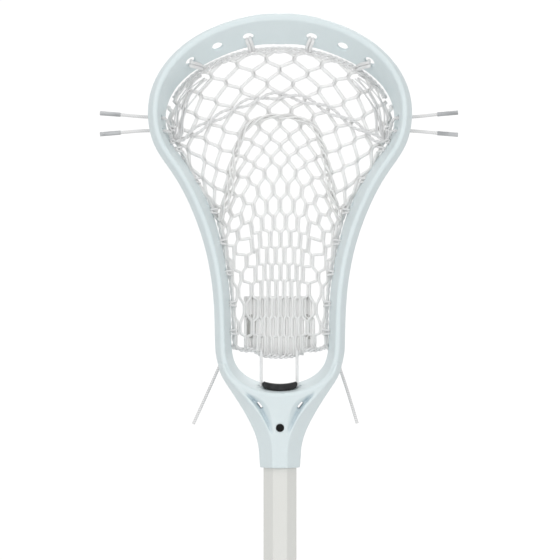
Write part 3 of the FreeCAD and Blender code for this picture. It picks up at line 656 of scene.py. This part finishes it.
# The net's cells are counted from its middle outwards, and its rows from the top down. Every list below
# is (row, millimetres), but for the three LEG lists, where the second number is a share.
ROW_HEIGHT = [  # height of the row at the middle
    (-4, 356.0), (0, 317.0), (1, 307.5), (2, 298.0), (4, 277.0), (5, 266.5), (6, 257.5), (7, 248.7),
    (8, 240.0), (9, 229.3), (10, 216.3), (12, 190.0), (14, 163.7), (16, 137.4), (17, 122.7), (18, 107.3),
    (19, 92.6),
]
CELL_WIDTH = [  # of the cells at the middle
    (-4, 22.4), (0, 21.6), (2, 20.0), (4, 17.5), (6, 14.4), (8, 13.2), (10, 11.3), (12, 9.1), (13, 7.6),
    (14, 6.95), (16, 5.8), (19, 5.6),
]
FOURTH_CELL = [  # from the middle to the fourth cell
    (-4, 78.0), (0, 76.0), (2, 71.7), (4, 64.0), (6, 55.5), (8, 48.0), (12, 39.0), (14, 31.0), (19, 26.0),
]
# How far the second cell, the fourth one and the one at the wall hang below the middle one:
SECOND_DROP = [(0, 9.6), (2, 10.4), (6, 9.9), (8, 8.7), (10, 4.6), (12, 2.1), (14, 0.3), (19, 0.0)]
FOURTH_DROP = [
    (0, 29.0), (2, 30.5), (4, 28.2), (6, 30.0), (8, 33.0), (10, 24.0), (12, 13.6), (14, 6.4), (16, 1.2),
    (18, 0.0), (19, -5.0),
]
WALL_DROP = [
    (0, 40.0), (2, 38.0), (4, 33.0), (6, 36.0), (8, 40.0), (10, 30.0), (12, 17.0), (14, 8.0), (16, 3.0),
    (18, 1.0), (19, -6.0),
]
# The legs' length, how far they lean with their row, and how far apart their two yarns lie:
LEG_SHARE = [(0, 0.21), (4, 0.20), (8, 0.21), (10, 0.29), (12, 0.38), (13, 0.455), (14, 0.48), (19, 0.48)]
LEG_LEAN = [(0, 1.0), (6, 1.0), (8, 0.85), (10, 0.45), (12, 0.25), (14, 0.1), (19, 0.1)]
LEG_APART = [(0, 0.12), (6, 0.38), (10, 0.58), (14, 0.68), (19, 0.68)]
FIRST_ROW = -4
LAST_ROW = 19
WALL_CELL = 5.0  # the cell whose middle is at the side wall
HALF_COUNT = 5.5  # half the number of cells across a row
YARN = [(0.0, 1.5), (0.6, 1.36), (0.8, 1.2), (1.0, 1.14)]  # radius, by share of the way down a yarn
YARN_BEND = 1.5  # how far before a corner the yarn starts to turn
YARN_LIFT = 0.3  # every second yarn lies this much in front
HEM_CORNER = 16.8  # half the width of the lower, middle part of the mesh's foot
HEM_HEIGHT = 90.5  # of the foot beside that part
HEM_SPREAD = 2.6  # how far the yarns there draw aside


def net_spot(across, row):
    """x and height of a place in the net: across in cells from the middle."""
    cell = abs(across)
    width = through(CELL_WIDTH, row)
    fourth = through(FOURTH_CELL, row)
    second_drop = through(SECOND_DROP, row)
    wall_drop = through(WALL_DROP, row)
    drops = [(0, 0.0), (1, second_drop * 0.27), (2, second_drop), (4, through(FOURTH_DROP, row))]
    drops += [(WALL_CELL, wall_drop), (WALL_CELL + 1, wall_drop * 1.02)]
    middle_height = through(ROW_HEIGHT, row)
    wall = inner_half_width(middle_height - wall_drop) - MESH_GAP + 0.8
    fourth = min(fourth, wall - 4.0)
    places = [(0, 0.0), (1, width), (2, width * 2), (3, width * 2.93), (4, fourth)]
    places += [(WALL_CELL, wall), (WALL_CELL + 1, wall + 0.6)]
    return math.copysign(through(places, cell), across), middle_height - through(drops, cell)


def net_leg(across, row):
    """The middle of an upright leg of the net, and half of it as a step downwards. A leg stands square
    to its own row in the upper part, upright lower down, and is shorter in the wide cells at the walls."""
    x, height = net_spot(across, row)
    left_x, left_height = net_spot(across - 0.5, row)
    right_x, right_height = net_spot(across + 0.5, row)
    run = right_x - left_x
    rise = (right_height - left_height) * through(LEG_LEAN, row)
    long = math.hypot(run, rise)
    above = through(ROW_HEIGHT, row - 1)
    below = through(ROW_HEIGHT, row + 1) if row < LAST_ROW else through(ROW_HEIGHT, row) - 15.0
    beside_wall = smooth_step((abs(across) - 3.0) / 1.0)
    share = through(LEG_SHARE, row)
    share -= (share - 0.19) * 0.8 * beside_wall
    half = share * (above - below) / 2
    return (x, height), (half * rise / long, -half * run / long)


class Shake:
    """Small random shifts of the net's joints, the same for both yarns that meet there."""

    def __init__(self, seed, size):
        self.random = random.Random(seed)
        self.size = size
        self.known = {}

    def at(self, across, row):
        key = (round(across * 2), row)
        if key not in self.known:
            size = self.size * (1 + abs(across) / 4)
            self.known[key] = (self.random.uniform(-size, size), self.random.uniform(-size, size))
        return self.known[key]


def net_yarn(column, rows, shake):
    """One yarn, (x, height) by (x, height). It goes down between the half-cell marks column and
    column + 1, and lies beside its neighbour at every leg."""
    spots = []
    for row in rows:
        on_left = (column + row) % 2 != 0
        mark = column if on_left else column + 1
        (x, height), (step_x, step_z) = net_leg(mark / 2, row)
        dx, dz = shake.at(mark / 2, row)
        aside = through(LEG_APART, row) * (1 if on_left else -1)
        for way in (-1, 1):
            spots.append((x + dx + aside + way * step_x, height + dz + way * step_z))
    last_x = spots[-1][0]
    if abs(last_x) > HEM_CORNER:
        spots.append((last_x - math.copysign(HEM_SPREAD, aside), HEM_HEIGHT))
    return spots


def below_top_edge(spots, margin):
    """The part of a yarn below the mesh's arched edge, with its end on that edge."""
    kept = []
    for spot, following in zip(spots, spots[1:] + spots[-1:]):
        room = top_edge(spot[0]) - margin - spot[1]
        if room >= 0:
            kept.append(spot)
            continue
        next_room = top_edge(following[0]) - margin - following[1]
        if next_room > 0:
            share = -room / (next_room - room)
            kept.append(tuple(a + (b - a) * share for a, b in zip(spot, following)))
    return kept


def laid(spots, lift):
    return [on_mesh(x, height, lift) for x, height in spots]


def make_net():
    tubes = Tubes()
    shake = Shake(11, 0.35)
    count = round(HALF_COUNT * 2)
    rows = range(FIRST_ROW, LAST_ROW + 1)
    for column in range(-count, count):
        spots = below_top_edge(net_yarn(column, rows, shake), 0.5)
        path = eased(laid(spots, YARN_LIFT * (column % 2)), YARN_BEND)
        tubes.add(path, lambda share: through(YARN, share))
    return tubes


FOLD_TOP = 131.5
FOLD_YARN = 1.15
FOLD_CELL = 5.6
FOLD_ROWS = range(17, LAST_ROW + 1)
FOLD_COLUMNS = range(-10, 9)
FOLD_LEG = 6.4  # half the length of its legs
FOLD_APART = 0.66  # half the distance between a leg's two yarns
FOLD_FOOT = 86.0
FOLD_LAYERS = ((-1.1, 0.0), (-2.3, 0.9))  # how far in front of the pocket each lies, and how far aside
FOLD_BEND = 1.3
FOLD_EDGES = (-26.6, -24.6, -22.9, 20.8, 22.6)  # x of the yarns along its sides, at its top
FOLD_EDGE_LIFT = -2.2
# Painted shade along the fold's sides: x of its grey strands, their heights, lift and radius.
PAINTED_SHADE_STRANDS = (-26.0, -24.0, -22.0, 21.4, 23.2)
PAINTED_SHADE_HEIGHTS = (117.0, 112.5, 108.0, 103.5, 99.0)
PAINTED_SHADE_LIFT = -0.9
PAINTED_SHADE_YARN = 0.95


def fold_yarn(column, odd, shake):
    """One yarn of the fold, whose cells are all as wide as each other."""
    spots = []
    for row in FOLD_ROWS:
        on_left = (column + row + odd) % 2 != 0
        mark = column if on_left else column + 1
        dx, dz = shake.at(mark / 2, row)
        x = mark / 2 * FOLD_CELL + (FOLD_APART if on_left else -FOLD_APART) + dx
        height = through(ROW_HEIGHT, row) + dz
        spots += [(x, min(FOLD_TOP, height + FOLD_LEG)), (x, height - FOLD_LEG)]
    spots[0] = (spots[0][0], FOLD_TOP)
    last_x, last_height = spots[-1]
    foot = HEM_HEIGHT if abs(last_x) > HEM_CORNER else FOLD_FOOT
    spots[-1] = (last_x, max(last_height, foot))
    return spots


def add_fold(tubes):
    """The foot of the mesh, folded up behind it: its legs show through the front layer's cells."""
    for layer, (lift, shift) in enumerate(FOLD_LAYERS):
        shake = Shake(20 + layer, 0.45)
        for column in FOLD_COLUMNS:
            spots = [(x + shift, height) for x, height in fold_yarn(column, 1 - layer, shake)]
            tubes.add(eased(laid(spots, lift), FOLD_BEND), FOLD_YARN)
    for x in FOLD_EDGES:
        edge = [(x, FOLD_TOP), (x + 0.5, 118.0), (x * 0.97, 104.0), (x * 0.95, 92.0)]
        tubes.add(rounded(laid(edge, FOLD_EDGE_LIFT), 3), FOLD_YARN)


def make_painted_shade_edges():
    """Grey strands along the sides of the fold: painted shade where the fold's layers lie in shadow."""
    tubes = Tubes()
    uneven = random.Random(41)
    for x in PAINTED_SHADE_STRANDS:
        route = []
        for height in PAINTED_SHADE_HEIGHTS:
            route.append((x + uneven.uniform(-0.6, 0.6), height + uneven.uniform(-0.8, 0.8)))
        tubes.add(rounded(laid(route, PAINTED_SHADE_LIFT), 2), PAINTED_SHADE_YARN)
    return tubes


# The fold's sides, darkened with painted shade.
edges = make_painted_shade_edges().piece("net_painted_shade_edges", PAINTED_SHADE)
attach(edges, "stick")
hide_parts("mesh_pocket")
net_tubes = make_net()
add_fold(net_tubes)
net = net_tubes.piece("net", NET)
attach(net, "stick")
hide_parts("mesh_pocket")

# ---------------------------------------------------------------- strings

# The routes of the shooting strings are (x, height) from the wall to the middle.
UPPER_SHOOTER = [(76.5, 256.6), (61.0, 266.4), (45.5, 275.4), (23.5, 286.6), (0.0, 291.6)]
LOWER_SHOOTER = [(73.5, 251.4), (60.0, 260.8), (45.0, 269.8), (23.5, 281.2), (0.0, 286.2)]
POCKET_SHOOTER = [
    (47.6, 190.0),
    (42.8, 200.5),
    (39.2, 214.0),
    (37.2, 231.0),
    (33.4, 248.0),
    (27.5, 263.0),
    (16.0, 270.4),
    (0.0, 272.4),
]


def both_sides(half):
    """A route that runs from the left to the middle, carried on to the right."""
    left = [Vector((-point.x, point.y, point.z)) for point in half]
    return left + [point.copy() for point in reversed(half[:-1])]


def string_piece(tubes, name, material, node):
    """Finishes a string that replaces a CAD node."""
    made = tubes.piece(name, material)
    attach(made, "stick")
    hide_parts(node)
    return made


def mirrored(point, side):
    """The point on the right side of the head, or its twin on the left where side is -1."""
    return Vector((side * point.x, point.y, point.z))


def knot(tubes, centre, size):
    """Two turns of string drawn tight, one across the other."""
    steps = 12
    for tilt in (0.5, -0.6):
        turn = []
        for step in range(steps + 1):
            angle = 2 * math.pi * step / steps
            across = math.cos(angle) * size
            up = math.sin(angle) * size
            turn.append(centre + Vector((across, up * math.sin(tilt), up * math.cos(tilt))))
        tubes.add(turn, size * 0.55)


SHOOTER_WEAVE = 44.0  # how far the two shooting strings run for each time they cross and come back
SHOOTER_HALF = 2.3  # half the distance between them where they are furthest apart
SHOOTER_LIFT = 2.6  # how far in front of the pocket they lie
SHOOTER_HOLES = {"upper_shooting_string": 270.0, "lower_shooting_string": 260.0}  # height in the walls
WALL_TIE = Vector((83.6, 14.5, 252.0))  # where they are tied to the mesh at the right wall


def shooter_paths():
    """The two shooting strings between the walls, weaving across each other."""
    half = []
    for upper, lower in zip(UPPER_SHOOTER, LOWER_SHOOTER):
        half.append(on_mesh((upper[0] + lower[0]) / 2, (upper[1] + lower[1]) / 2, SHOOTER_LIFT))
    line = resampled(rounded(both_sides(half), 3), 1.5)
    return twisted(line, 2, SHOOTER_HALF, SHOOTER_WEAVE, 1.2)


def wall_end(side, node, height):
    """From a hole in the side wall, down inside the wall to the tie at the mesh."""
    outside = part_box(node)[1].x / MM - 0.4
    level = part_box(node)[0].y / MM + 1.3
    tie = WALL_TIE
    points = [
        Vector((outside, level, height)),
        Vector((outside - 6.5, level + 1.0, height - 0.6)),
        Vector((tie.x + 1.8, (level + tie.y) / 2 + 2.0, (height + tie.z) / 2 + 1.0)),
        Vector((tie.x + 0.4, tie.y, tie.z + 1.5)),
        Vector((tie.x - 3.0, tie.y + 0.5, tie.z - 0.4)),
    ]
    return [mirrored(point, side) for point in points]


def make_shooter(node, height, path):
    """A shooting string of two strands laid round each other, knotted at both walls."""
    tubes = Tubes()
    route = wall_end(-1, node, height) + path + wall_end(1, node, height)[::-1]
    for strand in twisted(resampled(rounded(route, 2), 1.1), 2, 0.62, 8.5):
        tubes.add(strand, 0.82)
    for side in (-1, 1):
        knot(tubes, Vector((side * WALL_TIE.x, WALL_TIE.y, height - 8.0)), 1.7)
    return tubes


for (node, height), path in zip(SHOOTER_HOLES.items(), shooter_paths()):
    string_piece(make_shooter(node, height, path), node + "_laid", STRING, node)


def lace_spread(share):
    """The U lace is loose beside the pocket and drawn together at its top and at the walls."""
    from_end = min(share, 1 - share)
    return through([(0.0, 1.2), (0.08, 2.4), (0.24, 2.6), (0.36, 1.8), (0.5, 1.5)], from_end)


def make_lace():
    """The U lace: three strands laid loosely, and a finer one that winds among them."""
    tubes = Tubes()
    route = both_sides([on_mesh(x, height, 3.4) for x, height in POCKET_SHOOTER])
    line = resampled(rounded(route, 3), 1.2)
    for strand in twisted(line, 3, lace_spread, 40.0):
        tubes.add(strand, 0.8)
    inner = twisted(line, 1, lambda share: lace_spread(share) * 0.5, 21.0, 0.6)[0]
    tubes.add(inner, 0.75)
    return tubes


string_piece(make_lace(), "pocket_lace", LACE, "pocket_shooting_string")


GATHERED_STRANDS = 6
GATHERED_APART = 1.5
GATHERED_WOBBLE = 1.3
ALONG_WALL = (  # x and height beside the wall, from the scoop's outer hole down
    (62.5, 304.5),
    (69.0, 299.0),
    (75.5, 292.0),
    (80.0, 284.0),
    (82.6, 274.0),
    (82.8, 263.0),
)


def add_gathered(tubes, side):
    """Loose strands that draw the mesh's edge to the wall between the scoop tie and the side holes."""
    uneven = random.Random(31 if side < 0 else 32)

    def wobble():
        return uneven.uniform(-GATHERED_WOBBLE, GATHERED_WOBBLE)

    for strand in range(GATHERED_STRANDS):
        inwards = 0.6 + strand * GATHERED_APART
        route = []
        for x, height in ALONG_WALL:
            inner_x = x - inwards + wobble()
            inner_height = height - inwards * 0.8 + wobble()
            route.append(mirrored(on_mesh(inner_x, inner_height, 1.2 + strand * 0.3), side))
        route.append(mirrored(WALL_TIE + Vector((-1.5, 2.5, 0)), side))
        tubes.add(rounded(route, 3), 0.66)


def make_top_string():
    """Two pairs of strands along the mesh's arched edge, and the gathered ones at its ends."""
    tubes = Tubes()
    half = []
    for across in (0.985, 0.93, 0.82, 0.66, 0.46, 0.24, 0.0):
        half.append(mesh_place(across, 1.0) + Vector((0, 0, 1.6)))
    line = resampled(rounded(both_sides(half), 3), 1.1)
    for path in twisted(line, 2, 0.8, 9.0):
        tubes.add(path, 0.85)
    lower = [point + Vector((0, -0.4, -2.7)) for point in line[3:-3]]
    for path in twisted(lower, 2, 0.8, 17.0, 0.8):
        tubes.add(path, 0.7)
    for side in (-1, 1):
        add_gathered(tubes, side)
    return tubes


LACED = ((24.3, 331.2, 0.90), (68.8, 312.7, 0.875))  # x, height and foot's share of x, by laced hole
LOOP_RADIUS = 1.4


def scoop_loop(tubes, x, height, foot_x):
    """Two strands side by side, out of a laced hole and down over the scoop's back edge."""
    top = Vector((x, -1.6, height - 2.2))
    foot = on_mesh(foot_x, top_edge(foot_x), 1.9) + Vector((0, 0, 2.4))
    along = foot - top
    aside = Vector((along.z, 0, -along.x)).normalized() * LOOP_RADIUS
    for way in (-1, 1):
        start = top + aside * way
        finish = foot + aside * way
        bend = start.lerp(finish, 0.5) + Vector((0, -1.2, 0.6))
        inside = start + Vector((0, 4.0, 2.0))
        behind = finish + Vector((0, 3.0, -1.2))
        tubes.add(rounded([inside, start, bend, finish, behind], 3), LOOP_RADIUS, 10)


top_tubes = make_top_string()
for x, height, foot_share in LACED:
    for side in (-1, 1):
        scoop_loop(top_tubes, side * x, height, side * x * foot_share)
string_piece(top_tubes, "top_lacing", STRING, "top_string")

SIDE_HOLE_HEIGHTS = [246.0, 222.0, 198.0, 174.0, 150.0, 126.0, 104.0]
SIDE_STRING_FOOT = 93.0
SIDE_STRING_TOP = 270.0
HOLE_TURN = (  # of string through a wall's hole: inwards from the wall, back from the hole, share of height
    (-1.0, 0.6, 0.5),
    (1.2, -0.6, 0.7),
    (4.6, 2.0, 1.0),
    (5.6, 5.0, 1.2),
    (4.4, 6.6, 1.0),
)


def make_side_string(side):
    """Down the mesh's edge, with a turn through every hole of the side wall."""
    tubes = Tubes()
    line = []
    height = SIDE_STRING_FOOT
    while height <= SIDE_STRING_TOP:
        x = inner_half_width(height) - MESH_GAP * 0.55
        line.append(Vector((side * x, back_depth(height) - EDGE_BEHIND, height)))
        height += 3.0
    for path in twisted(resampled(line, 1.2), 2, 0.75, 12.0):
        tubes.add(path, 0.75, 7)
    for height in SIDE_HOLE_HEIGHTS:
        wall = inner_half_width(height) + 0.8
        y = back_depth(height) - 8.0
        for aside in (-1.7, 1.7):
            turn = []
            for inwards, back, share in HOLE_TURN:
                turn.append(Vector((side * (wall - inwards), y + back, height + aside * share)))
            tubes.add(rounded(turn, 3), 0.9)
    return tubes


for side, label in ((-1, "left"), (1, "right")):
    string_piece(make_side_string(side), f"{label}_side_lacing", STRING, f"{label}_sidewall_string")


UPRIGHTS = (-14.6, 13.2)
MESH_FOOT = [  # x and height along the foot of the mesh
    (-37.0, 94.0),
    (-32.0, 90.8),
    (-25.5, 89.6),
    (-20.6, 90.4),
    (-14.6, 85.6),
    (0.0, 84.7),
    (13.2, 85.6),
    (18.8, 90.4),
    (25.0, 89.6),
    (32.0, 90.8),
    (37.6, 94.4),
]


def make_bottom_lacing():
    """Up from the throat beside the ball stop, and in and out along the foot of the mesh."""
    tubes = Tubes()
    line = resampled(rounded(laid(MESH_FOOT, -0.6), 3), 1.1)
    for path in twisted(line, 2, 1.1, 8.0):
        tubes.add(path, 0.95)
    for x in UPRIGHTS:
        top = on_mesh(x, 88.5, 0.8)
        leg = [Vector((x, 6.5, 50.0)), Vector((x, 2.0, 65.0)), top, top + Vector((0, 2.5, 1.5))]
        tubes.add(rounded(leg, 3), 1.2, 10)
    return tubes


string_piece(make_bottom_lacing(), "bottom_lacing", STRING, "bottom_string")

# ---------------------------------------------------------------- carried-over parts

SKIN_VOXEL = 0.0008


def smooth_by_angle(thing, degrees):
    for face in thing.data.polygons:
        face.use_smooth = True
    thing.data.set_sharp_from_angle(angle=math.radians(degrees))


def round_edges(thing, width):
    """Takes the sharp edges off, by a width in millimetres."""
    bevel = thing.modifiers.new("edges", "BEVEL")
    bevel.width = width * MM
    bevel.segments = 2
    bevel.limit_method = "ANGLE"
    bevel.angle_limit = math.radians(40)


def blend_facets(thing):
    """One smooth skin over a moulding, as a mould's own rounded corners give it."""
    skin = thing.modifiers.new("skin", "REMESH")
    skin.mode = "VOXEL"
    skin.voxel_size = SKIN_VOXEL
    skin.use_smooth_shade = True
    soften = thing.modifiers.new("soften", "SMOOTH")
    soften.factor = 0.5
    soften.iterations = 1


blend_facets(carry("head_frame", head_material()))
shaft = carry("shaft", shaft_material())
smooth_by_angle(shaft, 30)
round_edges(shaft, 0.4)
round_edges(carry("end_cap", rubber_material()), 0.6)
round_edges(carry("throat_badge", badge_material()), 0.15)
round_edges(carry("head_screw", screw_material()), 0.25)

# ---------------------------------------------------------------- ball stop

STOP_LOW, STOP_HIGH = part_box("ball_stop")
STOP_CROWN = 0.0021  # how much its ends stand above its middle, along the top
STOP_DIP = 0.0031  # the same along the foot, which lies in the throat's curve
STOP_ROUND = 0.0013  # radius of its long edges
STOP_SINK = 0.0005  # how far its foot is pressed into the throat
STOP_INSET = 0.0045  # how far its front stands in from the CAD solid's
ARC_STEPS = 4  # of each rounded long edge
STOP_END = ((-1.0, 0.0017), (-0.985, 0.0009), (-0.95, 0.0003), (-0.92, 0.0))  # place and shrink


def stop_ring(across, shrink):
    """The stop's outline at a place from -1 to 1 across, drawn in by shrink for the rounded ends."""
    x = across * (STOP_HIGH.x - STOP_LOW.x) / 2
    foot = STOP_LOW.z - STOP_SINK + STOP_DIP * across * across + shrink
    top = STOP_HIGH.z - STOP_CROWN * (1 - across * across) - shrink
    front = STOP_LOW.y + STOP_INSET + shrink
    back = STOP_HIGH.y - shrink
    edge = STOP_ROUND
    corners = [
        (front + edge, foot + edge, 180),
        (front + edge, top - edge, 90),
        (back - edge, top - edge, 0),
        (back - edge, foot + edge, 270),
    ]
    ring = []
    for y, z, start in corners:
        for step in range(ARC_STEPS + 1):
            angle = math.radians(start + 90 - 90 / ARC_STEPS * step)
            ring.append(Vector((x, y + edge * math.cos(angle), z + edge * math.sin(angle))))
    return ring


def make_stop():
    """A foam pad that follows the throat's curve."""
    shape = bmesh.new()
    places = list(STOP_END)
    places += [(step / 8, 0.0) for step in range(-7, 8)]
    places += [(-across, shrink) for across, shrink in reversed(STOP_END)]
    rings = []
    for across, shrink in places:
        rings.append([shape.verts.new(corner) for corner in stop_ring(across, shrink)])
    around = len(rings[0])
    for ring, following in zip(rings, rings[1:]):
        for corner in range(around):
            after = (corner + 1) % around
            shape.faces.new([ring[corner], ring[after], following[after], following[corner]])
    shape.faces.new(list(reversed(rings[0])))
    shape.faces.new(rings[-1])
    bmesh.ops.recalc_face_normals(shape, faces=shape.faces)
    data = bpy.data.meshes.new("foam_stop")
    shape.to_mesh(data)
    shape.free()
    data.materials.append(foam_material())
    stop = new_object("foam_stop", data)
    smooth_by_angle(stop, 40)
    return stop


foam_stop = make_stop()
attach(foam_stop, "stick")
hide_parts("ball_stop")
